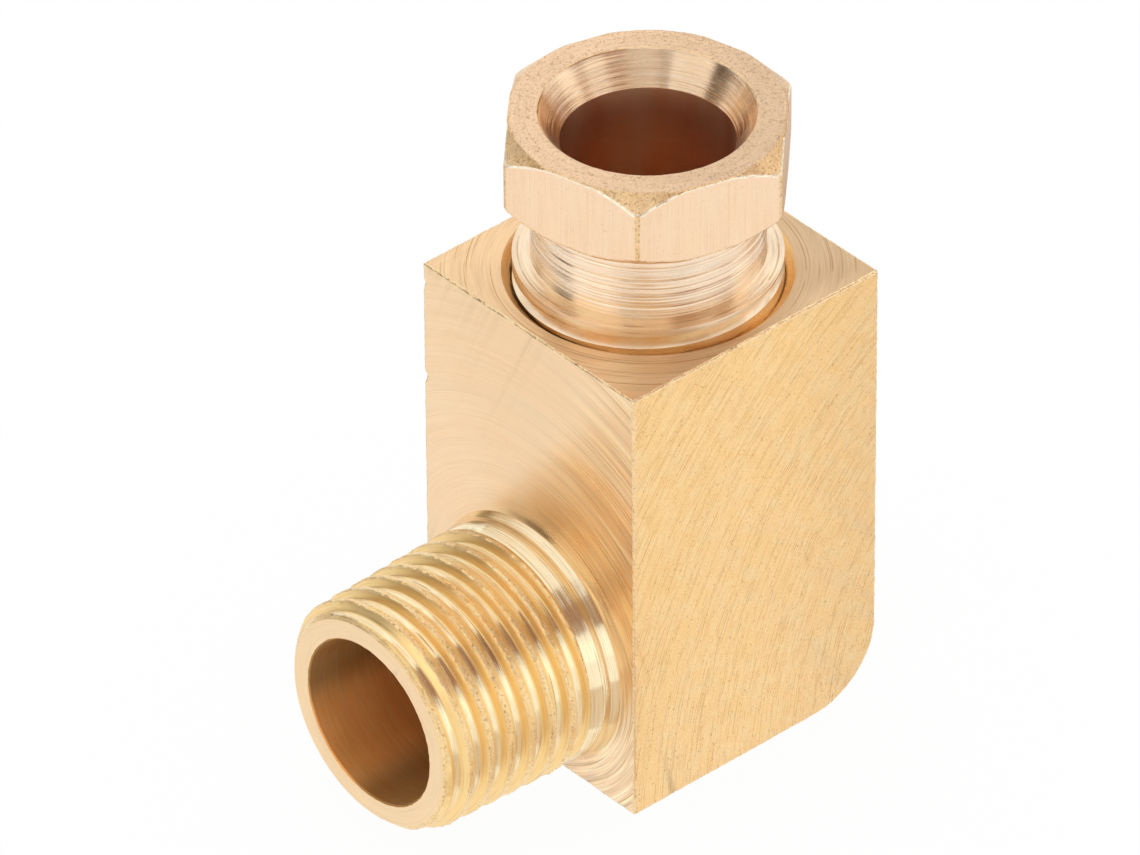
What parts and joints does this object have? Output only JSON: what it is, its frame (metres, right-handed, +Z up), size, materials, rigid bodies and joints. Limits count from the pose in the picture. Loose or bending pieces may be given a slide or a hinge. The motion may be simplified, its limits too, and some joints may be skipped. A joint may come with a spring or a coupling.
{
  "type": "brass compression elbow fitting",
  "caption": "Brass elbow block with a taper-threaded side stub and a hexagonal compression nut that clamps a tube from above.",
  "frame": {"origin": "on the base face, straight below the axis of the tube port", "axes": "+Z up along the tube port and the nut, -Y out along the threaded stub, +X to the sawn side of the block"},
  "size_m": [0.016, 0.0276, 0.0361],
  "materials": {
    "body_brass": "sawn and turned, unpolished",
    "nut_brass": "drawn hexagon bar with turned ends",
    "ferrule_brass": "turned"
  },
  "bodies": {
    "elbow": {"elbow_body": "body_brass"},
    "ring": {"ferrule": "ferrule_brass"},
    "nut": {"compression_nut": "nut_brass"}
  },
  "joints": [
    {"name": "ferrule_travel", "type": "slide", "parent": "elbow", "child": "ring", "axis": [0, 0, 1], "range_m": [-0.003, 0.003]},
    {"name": "nut_turn", "type": "hinge", "parent": "ring", "child": "nut", "pos_m": [0, 0, 0.0263], "axis": [0, 0, 1], "range_deg": [-720, 720]}
  ],
  "couplings": [
    {"joint": "ferrule_travel", "follows": "nut_turn", "m_per_rad": 0.00023873}
  ]
}
